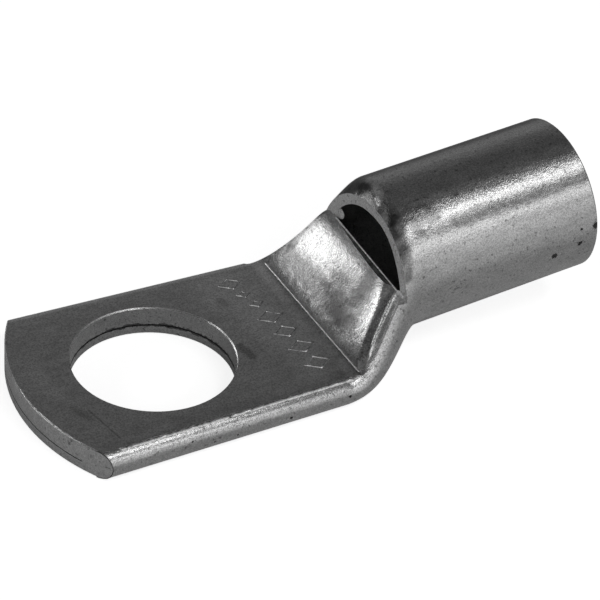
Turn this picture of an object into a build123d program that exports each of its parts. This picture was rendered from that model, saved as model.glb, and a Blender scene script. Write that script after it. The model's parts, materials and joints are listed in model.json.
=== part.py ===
import os
from math import copysign, cos, exp, isclose, radians, sin, sqrt, tan

from build123d import *

# Frame: origin at the centre of the stud hole on the palm underside, +Z up, +X toward the cable end.
# All sizes in millimetres, all angles in degrees.

# Tube
barrel_outer_d = 16.4
wall = 1.65
barrel_rise_angle = 5.5
barrel_axis_x = 30.0
barrel_axis_height = 9.54
barrel_end_x = 47.5
barrel_edge_break = 0.2

# Palm: the tube pressed flat, two walls thick, rounded where the walls fold
stud_hole_d = 17.0
palm_width = 24.9
palm_side_taper = 1.4
palm_end_x = -14.45
palm_end_radius = 21.6
palm_edge_break = 0.12

# Seam between the two walls, seen where the hole and the end cut through it
seam_height = 1.1
seam_width = 0.12
seam_depth = 0.25

# Neck between palm and tube; a higher power holds the palm form for longer
neck_start_x = 16.2
neck_end_x = 26.8
neck_step = 0.9
side_power = 1.35
widest_power = 1.6
top_power = 1.0
flat_low_power = 1.0
flat_high_power = 0.55
lean_power = 1.6
neck_top_shift = 1.7
tube_cap_angle = 20
cap_power = 2

# Hollow under the neck, where the wall is drawn thinner
cavity_start_x = 18.2
neck_wall = 1.3
neck_wall_power = 3
crown_wall = 0.8
crown_wall_power = 6

# Top wall pressed down into a ramp, then cut through behind it
crease_x = 18.15
cut_x = 24.17
lip_height = 9.72
lip_tilt = 3.4
ramp_top = 10.35
ramp_start_slope = 0.5
ramp_end_slope = 0.75
far_crown = 0.3
near_crown = 0.7
valley_depth = 0.7
valley_foot_inset = 0.9
valley_inset = 1.85
valley_foot_width = 0.6
valley_settle = 0.5
valley_inner_width = 1.25
valley_outer_width = 0.95
rim_inset = 0.5
rim_width = 0.2
rim_fall = 1.0
near_fall_width = 0.7
far_fall_inset = 0.5
far_fall_width = 1.2
rim_foot_half_width = 11.1
rim_narrowing = 1.6
rim_curving = 1.3
ramp_fade = 0.28
ramp_rows = 12
ramp_columns = 80
ramp_tolerance = 0.005
rim_follow = 0.8
rim_overrun = 1.2
crease_depth = 0.04

palm_thickness = 2 * wall
palm_r = palm_thickness / 2
fold_half_width = palm_r / cos(radians(palm_side_taper))
barrel_r = barrel_outer_d / 2
bore_r = barrel_r - wall
hole_r = stud_hole_d / 2
ramp_length = cut_x - crease_x
clear = 2 * palm_width
margin = 1.0


def axis_height(x):
    return barrel_axis_height + (x - barrel_axis_x) * tan(radians(barrel_rise_angle))


def palm_half_width(x):
    return palm_width / 2 - tan(radians(palm_side_taper)) * x


def mix(first, last, share):
    return first * (1 - share) + last * share


def smooth(share):
    # 0 to 1 with level ends, held there past them
    v = min(max(share, 0), 1)
    return v * v * (3 - 2 * v)


def blend(x, power):
    # 0 where the palm ends, 1 where the full tube starts
    share = (x - neck_start_x) / (neck_end_x - neck_start_x)
    return smooth(max(share, 0) ** power)


def cap(start, middle, end, leave, arrive):
    # closing edge of a section: straight on the palm, curved toward the tube
    if isclose(start[1], middle[1]):
        return Line(start, end)
    return Spline([start, middle, end], tangents=[leave, arrive])


def section(plane, half_width, widest, bottom, top, flat_low, flat_high, shift, cap_angle):
    # closed section of two caps and four quarter ellipses; shift moves its top sideways
    c = radians(cap_angle)
    reach = 90 - cap_angle
    low, high = widest - bottom, top - widest
    side_low = half_width - flat_low
    far_centre, near_centre = flat_high - shift, -flat_high - shift
    side_far, side_near = half_width - far_centre, half_width + near_centre
    foot = (flat_low + side_low * sin(c), widest - low * cos(c))
    far_head = (far_centre + side_far * sin(c), widest + high * cos(c))
    near_head = (near_centre - side_near * sin(c), widest + high * cos(c))
    if flat_low == 0 and low == high:
        foot_cap = ThreePointArc((-foot[0], foot[1]), (0, bottom), foot)
        head_cap = ThreePointArc(far_head, (0, top), near_head)
    else:
        leave = (side_low * cos(c), -low * sin(c))
        arrive = (side_low * cos(c), low * sin(c))
        foot_cap = cap((-foot[0], foot[1]), (0, bottom), foot, leave, arrive)
        leave = (-side_far * cos(c), high * sin(c))
        arrive = (-side_near * cos(c), -high * sin(c))
        head_cap = cap(far_head, (-shift, top), near_head, leave, arrive)
    edges = [
        foot_cap,
        EllipticalCenterArc((flat_low, widest), side_low, low, -reach, arc_size=reach),
        EllipticalCenterArc((far_centre, widest), side_far, high, 0, arc_size=reach),
        head_cap,
        EllipticalCenterArc((near_centre, widest), side_near, high, 90 + cap_angle, arc_size=reach),
        EllipticalCenterArc((-flat_low, widest), side_low, low, 180, arc_size=reach),
    ]
    return plane * make_face(Wire(edges))


def tube_section(x, at_side=0, at_crown=0):
    # outline of the lug at x, from flat palm to round tube, taken in by so much at its sides and crown
    up = axis_height(x)
    flat = palm_half_width(x) - fold_half_width
    lean = radians(barrel_rise_angle * blend(x, lean_power))
    across = blend(x, side_power)
    return section(
        plane=Plane(origin=(x, 0, up), x_dir=(0, 1, 0), z_dir=(cos(lean), 0, sin(lean))),
        half_width=mix(palm_half_width(x), barrel_r, across) - at_side,
        widest=mix(palm_r - up, 0, blend(x, widest_power)),
        bottom=mix(-up, -barrel_r, across) + at_side,
        top=mix(palm_thickness - up, barrel_r, blend(x, top_power)) - at_crown,
        flat_low=mix(flat, 0, blend(x, flat_low_power)),
        flat_high=mix(flat, 0, blend(x, flat_high_power)),
        shift=neck_top_shift * 4 * across * (1 - across),
        cap_angle=mix(0, tube_cap_angle, blend(x, cap_power)),
    )


def hollow_section(x):
    # inner outline, the wall left between it and the outer one thinnest at the crown
    side = mix(neck_wall, wall, blend(x, neck_wall_power))
    crown = mix(crown_wall, wall, blend(x, crown_wall_power))
    return tube_section(x, side, crown)


def palm_blank(x_end):
    # flat slab between the folds, and a round fold along each tapered side
    inner = palm_half_width(neck_start_x) - fold_half_width
    outer = palm_half_width(x_end) - fold_half_width
    corners = [(neck_start_x, -inner), (neck_start_x, inner), (x_end, outer), (x_end, -outer)]
    blank = extrude(make_face(Polyline(*corners, close=True)), palm_thickness)
    fold_length = (neck_start_x - x_end) / cos(radians(palm_side_taper))
    for side in (-1, 1):
        along = (x_end - neck_start_x, side * (outer - inner), 0)
        middle = ((neck_start_x + x_end) / 2, side * (inner + outer) / 2, palm_r)
        blank += Plane(origin=middle, z_dir=along) * Cylinder(palm_r, fold_length + 2 * margin)
    return blank & block(x_end, neck_start_x, -clear, clear)


def ramp_centre(u):
    # height along the middle of the ramp, u from 0 at the crease to 1 at the cut
    climb = (3 * u**2 - 2 * u**3) * (ramp_top - palm_thickness)
    start = (u**3 - 2 * u**2 + u) * ramp_length * ramp_start_slope
    end = (u**3 - u**2) * ramp_length * ramp_end_slope
    return palm_thickness + climb + start + end


def ramp_slope(u):
    climb = (6 * u - 6 * u**2) * (ramp_top - palm_thickness) / ramp_length
    return climb + (3 * u**2 - 4 * u + 1) * ramp_start_slope + (3 * u**2 - 2 * u) * ramp_end_slope


def rim_line(u):
    return rim_foot_half_width - rim_narrowing * u - rim_curving * u**2


def rounded_off(outside, width):
    # drop past a rim, none inside it
    return rim_fall * (exp(-((max(outside, 0) / width) ** 2)) - 1)


def near_side(u, outside):
    # valley just inside the near rim, widest at the cut, and the rim standing up beside it
    from_valley = outside + mix(valley_foot_inset, valley_inset, smooth(u / valley_settle))
    inner_width = mix(valley_foot_width, valley_inner_width, u)
    width = inner_width if from_valley < 0 else valley_outer_width
    valley = -valley_depth * exp(-((from_valley / width) ** 2))
    lift = near_crown / (1 + exp(-(outside + rim_inset) / rim_width))
    return valley + lift + rounded_off(outside, near_fall_width)


def ramp_height(u, y):
    # crowned middle, plainly rounded off on the far side, folded on the near side
    outside = abs(y) - rim_line(u)
    share = min(abs(y) / rim_line(u), 1) ** 2
    if y > 0:
        shape = rounded_off(outside + far_fall_inset, far_fall_width) - far_crown * share
    else:
        shape = near_side(u, outside) - near_crown * share
    fade = 1 - exp(-((u / ramp_fade) ** 2))
    return ramp_centre(u) - crease_depth + fade * shape


def ramp_y(u, t):
    # t runs from -1 to 1 between the rims and past them, so that lines of constant t follow each rim
    drawn_in = rim_foot_half_width - rim_line(u)
    return t * rim_foot_half_width - copysign(smooth(abs(t) / rim_follow), t) * drawn_in


def above_ramp(walls):
    # all that lies over the ramp surface, lowered by so many wall thicknesses square to the slope
    grid = []
    for i in range(-1, ramp_rows + 2):
        u = i / ramp_rows
        drop = walls * wall * sqrt(1 + ramp_slope(u) ** 2)
        ys = [ramp_y(u, rim_overrun * (2 * j / ramp_columns - 1)) for j in range(ramp_columns + 1)]
        grid.append([Vector(mix(crease_x, cut_x, u), y, ramp_height(u, y) - drop) for y in ys])
    surface = Face.make_surface_from_array_of_points(grid, tol=ramp_tolerance)
    return Solid.extrude(surface, Vector(0, 0, barrel_outer_d)) & block(crease_x, cut_x, -clear, clear)


def turned(points):
    # solid of revolution about Z from its profile of radius and height
    return revolve(Plane.XZ * make_face(Polyline(*points, close=True)), Axis.Z)


def palm_disc(radius, edge_break):
    # round cutter through the palm; the break widens it past each face, or narrows it if negative
    out = radius + edge_break + copysign(margin, edge_break)
    lower = [(0, -margin), (out, -margin), (radius, abs(edge_break))]
    return turned(lower + [(r, palm_thickness - z) for r, z in reversed(lower)])


def block(x_from, x_to, z_from, z_to, width=clear):
    centre = ((x_from + x_to) / 2, 0, (z_from + z_to) / 2)
    return Pos(*centre) * Box(x_to - x_from, width, z_to - z_from)


# Outer form: flat palm, neck and round tube
rise = radians(barrel_rise_angle)
neck_end = (neck_end_x, 0, axis_height(neck_end_x))
tube_start = Plane(origin=neck_end, x_dir=(0, 1, 0), z_dir=(cos(rise), 0, sin(rise)))
tube_length = (barrel_end_x - neck_end_x) / cos(rise)
edge_z = tube_length - barrel_edge_break
steps = round((neck_end_x - neck_start_x) / neck_step)
neck_xs = [mix(neck_start_x, neck_end_x, i / steps) for i in range(steps + 1)]
neck = loft([tube_section(x) for x in neck_xs])
tube_end = [(barrel_r, edge_z), (barrel_r - barrel_edge_break, tube_length), (0, tube_length)]
barrel = tube_start * turned([(0, 0), (barrel_r, 0)] + tube_end)
body = palm_blank(palm_end_x - margin) + neck + barrel

# Press the top wall down and level the palm and the cut lip
body -= above_ramp(0)
body -= block(palm_end_x - clear, crease_x, palm_thickness, clear)
lip_waste = block(mix(crease_x, cut_x, 0.5), cut_x, 0, clear)
body -= Pos(0, 0, lip_height) * Rot(lip_tilt, 0, 0) * lip_waste

# Hollow the neck and the tube
hollow = loft([hollow_section(x) for x in neck_xs if x > cavity_start_x])
body -= hollow - above_ramp(1)
mouth_z = tube_length + margin
bore_end = [(bore_r, edge_z), (bore_r + mouth_z - edge_z, mouth_z), (0, mouth_z)]
body -= tube_start * turned([(0, 0), (bore_r, 0)] + bore_end)

# Stud hole and rounded end
end_circle = Pos(palm_end_x + palm_end_radius, 0, 0)
end_corner_x = palm_end_x + palm_end_radius / 2
waste = block(palm_end_x - clear, end_corner_x, -clear, clear)
body -= palm_disc(hole_r, palm_edge_break)
body -= waste - end_circle * palm_disc(palm_end_radius, -palm_edge_break)

# Seam line in the hole and in the end
seam_low, seam_high = seam_height - seam_width / 2, seam_height + seam_width / 2
seam_length = 2 * palm_half_width(palm_end_x) - 2 * palm_thickness
end_seam = block(palm_end_x - margin, end_corner_x, seam_low, seam_high, seam_length)
body -= Pos(0, 0, seam_height) * Cylinder(hole_r + seam_depth, seam_width)
body -= end_seam - end_circle * Cylinder(palm_end_radius - seam_depth, clear)

os.makedirs("parts", exist_ok=True)
export_step(body, "parts/lug.step")
print("lug", body.is_valid, len(body.solids()), "solid", round(body.volume, 1), "cubic mm")
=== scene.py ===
import json
import math
import bmesh
import bpy
from mathutils import Matrix, Vector, noise as spaceNoise
from mathutils.bvhtree import BVHTree

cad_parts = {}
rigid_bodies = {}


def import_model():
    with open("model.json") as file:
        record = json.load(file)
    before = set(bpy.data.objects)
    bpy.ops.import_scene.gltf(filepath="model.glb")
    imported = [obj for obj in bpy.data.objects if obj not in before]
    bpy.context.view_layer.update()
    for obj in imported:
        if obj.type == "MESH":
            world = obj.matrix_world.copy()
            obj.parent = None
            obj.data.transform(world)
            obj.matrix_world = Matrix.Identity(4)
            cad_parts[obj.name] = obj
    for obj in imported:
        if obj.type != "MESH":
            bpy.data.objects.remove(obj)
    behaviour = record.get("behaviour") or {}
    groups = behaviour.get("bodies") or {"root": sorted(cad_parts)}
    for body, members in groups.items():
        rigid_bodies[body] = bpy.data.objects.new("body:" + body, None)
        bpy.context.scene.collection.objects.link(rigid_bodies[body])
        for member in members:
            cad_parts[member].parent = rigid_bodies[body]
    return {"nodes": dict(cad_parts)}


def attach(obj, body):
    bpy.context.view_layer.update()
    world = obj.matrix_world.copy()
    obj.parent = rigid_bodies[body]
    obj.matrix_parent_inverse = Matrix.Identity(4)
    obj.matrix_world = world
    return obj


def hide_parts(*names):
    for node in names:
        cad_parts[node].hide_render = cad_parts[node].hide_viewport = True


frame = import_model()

for item in list(bpy.data.objects):
    if item.name in ("Cube", "Camera", "Light"):
        bpy.data.objects.remove(item)
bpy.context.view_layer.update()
scene = bpy.context.scene
scene.view_settings.view_transform = "Standard"
mm = 0.001


# Small helpers for node trees
def newMaterial(name):
    material = bpy.data.materials.new(name)
    material.use_nodes = True
    tree = material.node_tree
    tree.nodes.clear()
    return material, tree


def addNode(tree, kind, inputs=None, **settings):
    node = tree.nodes.new(kind)
    for key, value in settings.items():
        setattr(node, key, value)
    for key, value in (inputs or {}).items():
        if isinstance(value, bpy.types.NodeSocket):
            tree.links.new(value, node.inputs[key])
        else:
            node.inputs[key].default_value = value
    return node


def mathNode(tree, operation, first, second=0.0, clamp=False):
    return addNode(tree, "ShaderNodeMath", {0: first, 1: second}, operation=operation, use_clamp=clamp).outputs[0]


def mapRange(tree, source, fromLow, fromHigh, toLow, toHigh):
    inputs = {0: source, 1: fromLow, 2: fromHigh, 3: toLow, 4: toHigh}
    return addNode(tree, "ShaderNodeMapRange", inputs, interpolation_type="SMOOTHSTEP").outputs[0]


def mixValue(tree, share, first, second):
    return addNode(tree, "ShaderNodeMix", {0: share, 2: first, 3: second}).outputs[0]


def vectorNode(tree, operation, inputs, output=0):
    return addNode(tree, "ShaderNodeVectorMath", inputs, operation=operation).outputs[output]


def splitAxes(tree, place):
    return addNode(tree, "ShaderNodeSeparateXYZ", {0: place}).outputs


def noise(tree, place, scale, detail=3.0, roughness=0.5, stretch=None):
    if stretch:
        place = vectorNode(tree, "MULTIPLY", {0: place, 1: stretch})
    return addNode(tree, "ShaderNodeTexNoise", {
        "Vector": place, "Scale": scale, "Detail": detail, "Roughness": roughness,
    }).outputs[0]


def within(tree, value, low, high):
    # 1 between low and high, 0 elsewhere
    return mathNode(tree, "MULTIPLY", mathNode(tree, "GREATER_THAN", value, low),
                    mathNode(tree, "LESS_THAN", value, high))


# Tinned copper: grainy plating, rubbed smoother on the flat top of the palm, where the tone is also painted lighter,
# with a few dark pits.
# The pairs are the least and the most of a tone or a roughness; each pit has its centre and radius in mm.
tin = {
    "grainScale": 6500.0,
    "grainDepth": 0.02 * mm,
    "grainTone": (0.72, 1.26),
    "lumpScale": 1300.0,
    "lumpDepth": 0.035 * mm,
    "mottleScale": 1000.0,
    "mottleStretch": (0.4, 1.0, 1.0),
    "mottleTone": (0.9, 1.07),
    "mottleRoughness": (0.85, 1.25),
    "fleckScale": 2600.0,
    "fleckEdge": (0.61, 0.71),
    "fleckShare": 0.5,
    "palmTop": 3.24 * mm,
    "creaseX": 18.16 * mm,
    "palmPaintedLight": 1.1,
    "palmRoughness": 0.3,
    "palmGrain": 0.3,
    "pitTone": 0.12,
    "pitRoughness": 0.7,
    "pitScale": 9000.0,
    "pitRagged": (0.7, 1.3),
    "pits": [
        ((42.32, -8.1, 9.47), 0.34),
        ((45.34, -8.17, 10.32), 0.28),
        ((45.34, -8.13, 12.08), 0.16),
        ((47.1, -8.15, 12.12), 0.4),
        ((9.49, -12.21, 1.47), 0.16),
        ((16.34, -12.03, 1.89), 0.17),
        ((3.41, -12.35, 1.41), 0.12),
        ((0.81, -12.41, 1.43), 0.1),
        ((-1.66, -12.39, 2.22), 0.1),
    ],
}


# Patches of painted shade (kept tone below 1) and painted highlight (kept tone above 1) in mm: start, end, radius and
# how much of the plain tone is kept
paintedLightPatches = [
    ((22.0, 6.2, 7.7), (22.0, 4.6, 7.7), 1.6, 1.25),
    ((22.3, 2.8, 8.2), (22.9, -1.2, 9.0), 0.8, 1.2),
    ((19.9, 9.0, 5.1), (19.9, -4.5, 4.9), 1.6, 0.45),
    ((23.6, 8.0, 9.7), (23.4, -3.6, 9.4), 0.8, 0.6),
    ((21.1, 0.2, 6.5), (19.8, -2.6, 4.7), 1.9, 0.5),
    ((22.7, -3.3, 8.8), (21.0, -3.3, 6.6), 1.2, 0.5),
    ((22.8, -5.6, 8.6), (20.5, -6.1, 5.4), 0.8, 1.5),
    ((22.9, -7.2, 7.9), (20.8, -8.0, 5.2), 1.2, 0.55),
    ((23.0, -8.1, 8.2), (21.0, -9.0, 5.6), 0.6, 0.6),
    ((23.0, 9.1, 8.9), (20.0, 10.1, 5.0), 1.3, 0.45),
    ((24.9, 6.4, 13.6), (24.6, 2.6, 16.0), 1.2, 0.35),
    ((24.6, 2.6, 16.1), (24.4, -3.3, 15.8), 1.3, 0.3),
    ((24.4, -1.8, 16.0), (24.4, -4.8, 14.9), 0.7, 0.4),
    ((24.8, -6.3, 13.9), (24.5, -7.9, 11.6), 0.8, 0.4),
    ((26.6, -4.1, 16.3), (28.6, -4.6, 16.4), 1.3, 0.5),
    ((24.7, -0.2, 16.5), (24.55, -1.0, 16.35), 0.28, 3.2),
    ((26.2, -4.6, 15.9), (26.9, -5.6, 15.2), 0.7, 0.6),
    ((27.8, -4.0, 16.5), (28.3, -4.0, 16.6), 0.2, 1.8),
    ((31.0, -5.7, 15.5), (48.0, -5.7, 17.1), 0.9, 0.62),
    ((36.0, -6.9, 14.5), (48.0, -7.1, 15.5), 0.5, 0.85),
    ((30.2, -8.1, 8.7), (30.7, -8.1, 8.8), 0.15, 0.5),
    ((-9.5, -5.2, 3.3), (-8.5, -10.2, 3.3), 0.12, 0.65),
    ((-10.8, -4.2, 3.3), (-9.9, -6.4, 3.3), 0.5, 0.8),
    ((9.0, -1.8, 3.3), (9.4, -3.8, 3.3), 0.6, 0.6),
    ((-12.8, 8.6, 3.3), (-12.7, 8.2, 3.3), 0.25, 0.7),
    ((-2.0, -10.0, 3.3), (6.0, -10.4, 3.3), 0.9, 0.88),
    ((11.5, 8.0, 3.3), (15.0, -8.0, 3.3), 3.2, 1.2),
    ((10.6, 6.2, 3.3), (11.0, 5.2, 3.3), 0.5, 0.75),
    ((-12.0, 3.0, 3.3), (-11.5, -2.0, 3.3), 1.0, 1.1),
    ((16.9, 9.0, 3.3), (17.1, -9.0, 3.3), 0.7, 1.14),
]
# How the painted highlight and shade patches fade: noise of their edges, and where the fade starts and ends against
# the radius
paintedLightEdge = {
    "coarseScale": 900.0,
    "fineScale": 4500.0,
    "fineUpTo": 0.6,
    "uneven": 0.25,
    "fadeFrom": 0.35,
    "fadeTo": 1.25,
    "brightest": 0.95,
}
# Dark seam line between the two walls, and painted shade on the wall of the hole
seamShade = {"low": 0.92 * mm, "high": 1.28 * mm, "share": 0.3, "noiseScale": 1600.0, "uneven": 0.12 * mm}
holeShade = {"radius": 8.8 * mm, "top": 3.15 * mm, "share": 0.75}


def pitMask(tree, place):
    # 1 inside a pit, 0 away from them all
    ragged = noise(tree, place, tin["pitScale"], 2.0)
    least, most = tin["pitRagged"]
    total = None
    for spot, radius in tin["pits"]:
        away = vectorNode(tree, "DISTANCE", {0: place, 1: Vector(spot) * mm}, 1)
        edge = mapRange(tree, ragged, 0.3, 0.7, radius * least * mm, radius * most * mm)
        inside = mathNode(tree, "LESS_THAN", away, edge)
        total = inside if total is None else mathNode(tree, "MAXIMUM", total, inside)
    return total


def paintedLightAndShade(tree, place):
    # painted highlight or painted shade kept on each patch, fading out unevenly round the line from its start to its
    # end
    coarse = noise(tree, place, paintedLightEdge["coarseScale"], 3.0)
    fine = noise(tree, place, paintedLightEdge["fineScale"], 2.0)
    total = None
    for start, end, radius, share in paintedLightPatches:
        ragged = coarse if radius > paintedLightEdge["fineUpTo"] else fine
        start, end, radius = Vector(start) * mm, Vector(end) * mm, radius * mm
        run = end - start
        away = vectorNode(tree, "SUBTRACT", {0: place, 1: start})
        past = vectorNode(tree, "DOT_PRODUCT", {0: away, 1: run / run.length_squared}, 1)
        past = mathNode(tree, "ADD", past, 0.0, clamp=True)
        nearest = vectorNode(tree, "SCALE", {0: run, "Scale": past})
        distance = vectorNode(tree, "DISTANCE", {0: away, 1: nearest}, 1)
        uneven = radius * paintedLightEdge["uneven"]
        distance = mathNode(tree, "ADD", distance, mapRange(tree, ragged, 0.25, 0.75, -uneven, uneven))
        kept = mapRange(tree, distance, radius * paintedLightEdge["fadeFrom"], radius * paintedLightEdge["fadeTo"], share, 1.0)
        total = kept if total is None else mathNode(tree, "MULTIPLY", total, kept)
    return total


def seamAndHole(tree, place):
    # painted shade on the hole's wall, and the dark seam that runs round it
    up = splitAxes(tree, place)[2]
    uneven = seamShade["uneven"]
    wave = mapRange(tree, noise(tree, place, seamShade["noiseScale"], 3.0), 0.3, 0.7, -uneven, uneven)
    inSeam = within(tree, mathNode(tree, "ADD", up, wave), seamShade["low"], seamShade["high"])
    level = vectorNode(tree, "MULTIPLY", {0: place, 1: (1.0, 1.0, 0.0)})
    out = vectorNode(tree, "LENGTH", {0: level}, 1)
    inHole = mathNode(tree, "MULTIPLY", mathNode(tree, "LESS_THAN", out, holeShade["radius"]),
                      mathNode(tree, "LESS_THAN", up, holeShade["top"]))
    seam = mixValue(tree, inSeam, 1.0, seamShade["share"])
    return mixValue(tree, inHole, 1.0, mathNode(tree, "MULTIPLY", seam, holeShade["share"]))


def makeTin(name, level, roughness, paintedLightAndSeam):
    material, tree = newMaterial(name)
    place = addNode(tree, "ShaderNodeTexCoord").outputs["Object"]
    along, _, up = splitAxes(tree, place)
    onTop = mathNode(tree, "MULTIPLY", mathNode(tree, "GREATER_THAN", up, tin["palmTop"]),
                     mathNode(tree, "LESS_THAN", along, tin["creaseX"]))
    mottle = noise(tree, place, tin["mottleScale"], 6.0, 0.65, tin["mottleStretch"])
    flecks = mapRange(tree, noise(tree, place, tin["fleckScale"], 2.0), *tin["fleckEdge"], 1.0, tin["fleckShare"])
    grain = noise(tree, place, tin["grainScale"], 3.0, 0.6)
    lumps = noise(tree, place, tin["lumpScale"], 3.0, 0.55)
    pit = pitMask(tree, place)

    low, high = tin["mottleTone"]
    tone = mapRange(tree, mottle, 0.3, 0.7, level * low, level * high)
    tone = mathNode(tree, "MULTIPLY", tone, mapRange(tree, grain, 0.3, 0.7, *tin["grainTone"]))
    # the flat top of the palm is painted lighter; dark flecks elsewhere
    tone = mathNode(tree, "MULTIPLY", tone, mixValue(tree, onTop, flecks, tin["palmPaintedLight"]))
    if paintedLightAndSeam:
        # painted highlights and painted shade from the patches, painted shade on the hole's wall, and the dark seam
        tone = mathNode(tree, "MULTIPLY", tone, paintedLightAndShade(tree, place))
        tone = mathNode(tree, "MULTIPLY", tone, seamAndHole(tree, place))
        tone = mathNode(tree, "MINIMUM", tone, paintedLightEdge["brightest"])
    tone = mathNode(tree, "MULTIPLY", tone, mixValue(tree, pit, 1.0, tin["pitTone"]))

    low, high = tin["mottleRoughness"]
    rough = mapRange(tree, mottle, 0.3, 0.7, roughness * low, roughness * high)
    rough = mixValue(tree, onTop, rough, tin["palmRoughness"])
    rough = mixValue(tree, pit, rough, tin["pitRoughness"])

    grainShare = mixValue(tree, onTop, 1.0, tin["palmGrain"])
    fine = mathNode(tree, "MULTIPLY", mathNode(tree, "MULTIPLY", grain, tin["grainDepth"]), grainShare)
    coarse = mathNode(tree, "MULTIPLY", mathNode(tree, "MULTIPLY", lumps, tin["lumpDepth"]), grainShare)
    height = mathNode(tree, "ADD", fine, coarse)
    bump = addNode(tree, "ShaderNodeBump", {"Height": height, "Distance": 1.0, "Strength": 1.0})
    shader = addNode(tree, "ShaderNodeBsdfPrincipled", {
        "Base Color": tone, "Roughness": rough, "Metallic": 1.0, "Normal": bump.outputs[0],
    })
    addNode(tree, "ShaderNodeOutputMaterial", {"Surface": shader.outputs[0]})
    return material


# Each finish: brightness, roughness, and whether the painted highlight and shade patches, the painted shade of the
# hole and the seam show on it. The dark inside finish is painted shade in the tube's hollow, and the bright edge
# finish paints highlights on raised edges.
finishes = {
    "tinnedCopper": (0.56, 0.21, True),
    "tinPaintedShadeInside": (0.2, 0.6, False),
    "tinEdge": (0.9, 0.55, False),
    "tinCut": (0.67, 0.4, False),
    "tinStamp": (0.6, 0.45, False),
    "tinDark": (0.12, 0.6, False),
}
metal = {name: makeTin(name, *values) for name, values in finishes.items()}
print("finishes made", len(metal))


# The lug itself: the CAD shape with its seams joined and soft edges
lugFaces = {
    "finishes": ("tinnedCopper", "tinPaintedShadeInside", "tinCut"),
    "joinWithin": 0.002 * mm,
    "sharpFrom": 28.0,  # degrees between faces
    "hollowFrom": 18.3 * mm,
    "nearestWall": 3.0 * mm,
    "farthestWall": 22.0 * mm,
    "cutX": 24.17 * mm,
    "cutWithin": 0.05 * mm,
}


def chooseMaterials(mesh):
    # painted shade where a face looks across the hollow of the tube, sheared metal on the lip and the cut wall
    inside, cut = 1, 2  # places in the list of finishes
    tree = BVHTree.FromPolygons([v.co for v in mesh.vertices], [tuple(p.vertices) for p in mesh.polygons])
    for face in mesh.polygons:
        if face.center.x < lugFaces["hollowFrom"]:
            continue
        if face.normal.z > 0.9 and face.center.x < lugFaces["cutX"]:
            face.material_index = cut
            continue
        hit, _, _, gap = tree.ray_cast(face.center + face.normal * 0.01 * mm, face.normal)
        if hit and hit.x > lugFaces["hollowFrom"] and lugFaces["nearestWall"] < gap < lugFaces["farthestWall"]:
            face.material_index = inside
        elif face.normal.x < -0.95 and abs(face.center.x - lugFaces["cutX"]) < lugFaces["cutWithin"]:
            face.material_index = cut


def makeLug():
    mesh = frame["nodes"]["lug"].data.copy()
    mesh.name = "lugBody"
    shape = bmesh.new()
    shape.from_mesh(mesh)
    bmesh.ops.remove_doubles(shape, verts=shape.verts, dist=lugFaces["joinWithin"])
    for face in shape.faces:
        face.smooth = True
    for edge in shape.edges:
        if len(edge.link_faces) == 2:
            edge.smooth = edge.calc_face_angle(0) < math.radians(lugFaces["sharpFrom"])
    shape.to_mesh(mesh)
    shape.free()
    piece = bpy.data.objects.new("lugBody", mesh)
    scene.collection.objects.link(piece)
    mesh.materials.clear()
    for name in lugFaces["finishes"]:
        mesh.materials.append(metal[name])
    chooseMaterials(mesh)
    return piece


lug = makeLug()
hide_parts("lug")
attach(lug, "root")
print("lug made", len(lug.data.polygons))


def addDetail(name, shape, finish):
    # turn a finished bmesh into a smooth piece fixed to the lug
    for face in shape.faces:
        face.smooth = True
    mesh = bpy.data.meshes.new(name)
    shape.to_mesh(mesh)
    shape.free()
    mesh.materials.append(metal[finish])
    piece = bpy.data.objects.new(name, mesh)
    scene.collection.objects.link(piece)
    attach(piece, "root")


# Fine raised edges and dark lines left by pressing and shearing, the bright edge finish painting highlights on the
# raised ones: start, the point that pulls the middle, end, radius and wobble in mm, and finish
beads = {
    "creaseEdge": ((18.15, -10.3, 3.28), (18.15, 0.0, 3.28), (18.15, 10.3, 3.28), 0.09, 0.06, "tinEdge"),
    "foldEdge": ((-9.2, -11.62, 3.03), (4.1, -11.3, 3.03), (17.3, -10.98, 3.03), 0.22, 0.13, "tinEdge"),
    "lipEdge": ((24.13, -7.6, 9.25), (24.13, -0.6, 9.68), (24.13, 6.3, 10.06), 0.09, 0.03, "tinEdge"),
    "endEdge": ((-14.28, 1.0, 3.24), (-14.79, -4.1, 3.24), (-12.3, -9.2, 3.24), 0.07, 0.1, "tinEdge"),
    "endSeam": ((-13.97, 4.0, 1.1), (-15.34, -3.48, 1.1), (-11.8, -10.2, 1.1), 0.07, 0.12, "tinDark"),
    "cornerTop": ((-11.36, -11.08, 3.27), (-10.42, -12.54, 3.13), (-10.33, -12.63, 1.65), 0.06, 0.03, "tinDark"),
    "cornerLow": ((-10.33, -12.63, 1.65), (-10.42, -12.54, 0.17), (-11.36, -11.08, 0.07), 0.06, 0.03, "tinDark"),
}
beadMesh = {"cuts": 120, "sides": 10, "wobbleScale": 2200}


def makeBead(name):
    # a cone's faces point outwards and a bend keeps them so; recalculating turns some of these thin tubes round
    *points, radius, wobble, finish = beads[name]
    start, middle, end = (Vector(point) * mm for point in points)
    radius = radius * mm
    shape = bmesh.new()
    bmesh.ops.create_cone(shape, cap_ends=True, segments=beadMesh["sides"], radius1=radius, radius2=radius, depth=1.0)
    long = [edge for edge in shape.edges if abs(edge.verts[0].co.z - edge.verts[1].co.z) > 0.5]
    bmesh.ops.subdivide_edges(shape, edges=long, cuts=beadMesh["cuts"])
    for vert in shape.verts:
        share = vert.co.z + 0.5
        first, second = start.lerp(middle, share), middle.lerp(end, share)
        axis = first.lerp(second, share)
        turn = (second - first).to_track_quat("Z", "Y").to_matrix()
        lift = spaceNoise.noise(axis * beadMesh["wobbleScale"]) * wobble * mm
        vert.co = axis + turn @ Vector((vert.co.x, vert.co.y, 0)) + Vector((0, 0, lift))
    addDetail(name, shape, finish)


for beadName in beads:
    makeBead(beadName)
print("edges made", len(beads))


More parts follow.
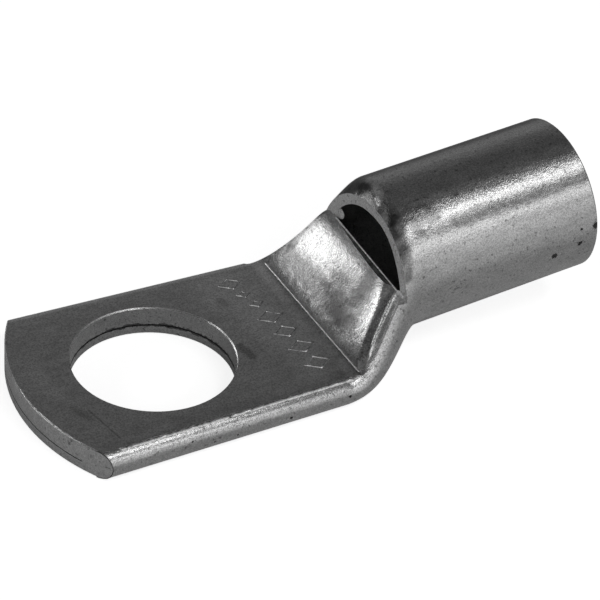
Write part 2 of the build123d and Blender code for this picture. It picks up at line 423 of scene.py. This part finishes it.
# Torn crumbs of metal at the two ends of the slot: centre and half sizes in mm, and finish
crumbs = {
    "farCrumb": ((24.38, 6.45, 10.7), (0.2, 1.15, 0.9), "tinCut"),
    # the near crumb's bright finish is a painted highlight
    "nearCrumb": ((24.12, -7.45, 9.28), (0.14, 0.65, 0.36), "tinEdge"),
}
crumbMesh = {"subdivisions": 4, "torn": 0.3, "tornScale": 1.7}


def makeCrumb(name):
    centre, sizes, finish = crumbs[name]
    shape = bmesh.new()
    bmesh.ops.create_icosphere(shape, subdivisions=crumbMesh["subdivisions"], radius=1.0)
    for vert in shape.verts:
        vert.co *= 1 + spaceNoise.noise(vert.co * crumbMesh["tornScale"] + Vector(centre)) * crumbMesh["torn"]
    bmesh.ops.scale(shape, vec=Vector(sizes) * mm, verts=shape.verts)
    bmesh.ops.translate(shape, vec=Vector(centre) * mm, verts=shape.verts)
    addDetail(name, shape, finish)


for crumbName in crumbs:
    makeCrumb(crumbName)
print("crumbs made", len(crumbs))


# Row of plain stamped diamonds on the palm, no lettering: place in mm and size against the largest
stamps = {
    "marks": [
        ((12.9, 8.3), 0.9), ((13.4, 6.1), 0.5), ((13.9, 4.1), 0.5), ((14.2, 1.5), 1.0),
        ((14.5, -1.3), 0.9), ((14.8, -4.2), 1.0), ((15.0, -7.2), 1.0),
    ],
    "height": 3.25,
    "width": 1.0,
    "length": 1.35,
    "line": 0.16,
    "lineSides": 8,
    "pieces": 13,  # along each side of a diamond
    "unevenness": 0.1,
    "unevenScale": 1800,
}


def makeStamp(index):
    (along, across), size = stamps["marks"][index]
    width, line = stamps["width"] * size * mm, stamps["line"] * mm
    corners = [Matrix.Rotation(math.radians(90 * corner), 3, "Z") for corner in range(6)]
    shape = bmesh.new()
    bmesh.ops.create_cone(shape, cap_ends=False, segments=stamps["lineSides"], radius1=line, radius2=line, depth=4.0)
    long = [edge for edge in shape.edges if abs(edge.verts[0].co.z - edge.verts[1].co.z) > 0.5]
    bmesh.ops.subdivide_edges(shape, edges=long, cuts=4 * stamps["pieces"] - 1)
    for vert in shape.verts:
        # the tube is bent round the four corners; a spin would number its faces differently on each run
        side, share = divmod(max(vert.co.z + 2.0, 0.0), 1.0)
        rim = Vector((width + vert.co.x, 0, vert.co.y))
        vert.co = (corners[int(side)] @ rim).lerp(corners[int(side) + 1] @ rim, share)
    bmesh.ops.scale(shape, vec=(stamps["length"] / stamps["width"], 1, 1), verts=shape.verts)
    for vert in shape.verts:
        spot = Vector((along, across, 0)) + vert.co * stamps["unevenScale"]
        vert.co.z += spaceNoise.noise(spot) * stamps["unevenness"] * mm
    bmesh.ops.remove_doubles(shape, verts=shape.verts, dist=0.001 * mm)
    bmesh.ops.recalc_face_normals(shape, faces=shape.faces)
    bmesh.ops.translate(shape, vec=Vector((along, across, stamps["height"])) * mm, verts=shape.verts)
    addDetail("stamp" + str(index), shape, "tinStamp")


for stampIndex in range(len(stamps["marks"])):
    makeStamp(stampIndex)
print("stamped marks made", len(stamps["marks"]))


# Floor: pale, and white to the camera. In reflections alone its far part is duller, so the tube's far side
# stays dark, and its front part has a faint sheen.
ground = {
    "size": 3.0,
    "drop": 0.02 * mm,
    "tone": 0.8,
    "white": 0.77,
    "farTone": 0.25,
    "farFade": (20 * mm, 50 * mm),
    "sheen": 0.18,
    "sheenFade": (-45 * mm, -15 * mm),
}


def makeFloorMaterial():
    material, tree = newMaterial("paleFloor")
    place = addNode(tree, "ShaderNodeTexCoord").outputs["Object"]
    across = splitAxes(tree, place)[1]
    rays = addNode(tree, "ShaderNodeLightPath").outputs
    reflected, seen = rays["Is Glossy Ray"], rays["Is Camera Ray"]
    dull = mathNode(tree, "MULTIPLY", reflected, mapRange(tree, across, *ground["farFade"], 0.0, 1.0))
    tone = mixValue(tree, dull, ground["tone"], ground["farTone"])
    sheen = mathNode(tree, "MULTIPLY", reflected, mapRange(tree, across, *ground["sheenFade"], ground["sheen"], 0.0))
    white = mathNode(tree, "ADD", mathNode(tree, "MULTIPLY", seen, ground["white"]), sheen)
    diffuse = addNode(tree, "ShaderNodeBsdfDiffuse", {"Color": tone})
    glow = addNode(tree, "ShaderNodeEmission", {"Color": (1, 1, 1, 1), "Strength": white})
    both = addNode(tree, "ShaderNodeAddShader", {0: diffuse.outputs[0], 1: glow.outputs[0]})
    addNode(tree, "ShaderNodeOutputMaterial", {"Surface": both.outputs[0]})
    return material


def makeFloor():
    mesh = bpy.data.meshes.new("floor")
    flat = bmesh.new()
    bmesh.ops.create_grid(flat, x_segments=1, y_segments=1, size=ground["size"])
    flat.to_mesh(mesh)
    flat.free()
    mesh.materials.append(makeFloorMaterial())
    plane = bpy.data.objects.new("floor", mesh)
    plane.location.z = -ground["drop"]
    scene.collection.objects.link(plane)
    return plane


floor = makeFloor()
print("floor made")


# World: paler toward the front and the horizon, with a soft glow to the left and behind
studio = {
    "front": 0.7,
    "back": 0.21,
    "frontFade": (-1.0, 0.3),
    "highShare": 0.38,
    "highFade": (0.3, 0.7),
    "glowToward": (-0.57, 0.63, 0.53),
    "glowSpread": 18.0,
    "glowStrength": 0.1,
}


def makeWorld():
    world = bpy.data.worlds.new("studio")
    world.use_nodes = True
    tree = world.node_tree
    tree.nodes.clear()
    direction = addNode(tree, "ShaderNodeTexCoord").outputs["Generated"]
    _, depth, height = splitAxes(tree, direction)
    front = mapRange(tree, depth, *studio["frontFade"], studio["front"], studio["back"])
    high = mapRange(tree, height, *studio["highFade"], 1.0, studio["highShare"])
    level = mathNode(tree, "MULTIPLY", front, high)
    nearness = vectorNode(tree, "DOT_PRODUCT", {0: direction, 1: Vector(studio["glowToward"]).normalized()}, 1)
    edge = math.cos(math.radians(studio["glowSpread"]))
    level = mathNode(tree, "ADD", level, mapRange(tree, nearness, edge, 1.0, 0.0, studio["glowStrength"]))
    seen = addNode(tree, "ShaderNodeLightPath").outputs["Is Camera Ray"]
    strength = mixValue(tree, seen, level, 1.0)
    background = addNode(tree, "ShaderNodeBackground", {"Color": (1, 1, 1, 1), "Strength": strength})
    addNode(tree, "ShaderNodeOutputWorld", {"Surface": background.outputs[0]})
    return world


scene.world = makeWorld()


# Lamps: the point lit, direction to the lamp, distance, width, height in mm, and brightness
lamps = {
    "keyLamp": ((12, 0, 6), (0.27, -0.45, 0.85), 420.0, 300.0, 75.0, 3.0),
    "frontLamp": ((12, 0, 6), (0.27, -0.8, 0.52), 420.0, 360.0, 80.0, 1.2),
    "leftLamp": ((22, -6, 7), (-0.81, 0.42, 0.41), 420.0, 100.0, 100.0, 3.2),
    "nearCard": ((22, 5, 8), (-0.62, 0.77, 0.16), 64.0, 16.0, 16.0, 3.0),
}


def addLamp(name):
    spot, toward, distance, width, height, radiance = lamps[name]
    data = bpy.data.lights.new(name, "AREA")
    data.shape = "RECTANGLE"
    data.size = width * mm
    data.size_y = height * mm
    data.energy = radiance * math.pi * data.size * data.size_y
    lamp = bpy.data.objects.new(name, data)
    toward = Vector(toward).normalized()
    lamp.location = (Vector(spot) + toward * distance) * mm
    lamp.rotation_euler = toward.to_track_quat("Z", "Y").to_euler()
    lamp.visible_camera = False
    scene.collection.objects.link(lamp)


for lampName in lamps:
    addLamp(lampName)
print("world and lamps made", len(lamps))


# Camera where the photograph was taken from; angles in degrees
camera = {
    "azimuth": -31.026,
    "elevation": 36.314,
    "roll": 4.643,
    "place": (-98.37 * mm, -191.35 * mm, 169.84 * mm),
    "lens": 160.77,
    "sensor": 36.0,
    "clip": (0.01, 20),
}


def addCamera():
    azimuth, elevation, roll = (math.radians(camera[key]) for key in ("azimuth", "elevation", "roll"))
    data = bpy.data.cameras.new("photoCamera")
    data.lens = camera["lens"]
    data.sensor_width = camera["sensor"]
    data.clip_start, data.clip_end = camera["clip"]
    eye = bpy.data.objects.new("photoCamera", data)
    turn = Matrix.Rotation(azimuth, 4, "Z") @ Matrix.Rotation(math.pi / 2 - elevation, 4, "X")
    turn = turn @ Matrix.Rotation(roll, 4, "Z")
    eye.matrix_world = Matrix.Translation(camera["place"]) @ turn
    scene.collection.objects.link(eye)
    scene.camera = eye


addCamera()
print("camera placed")
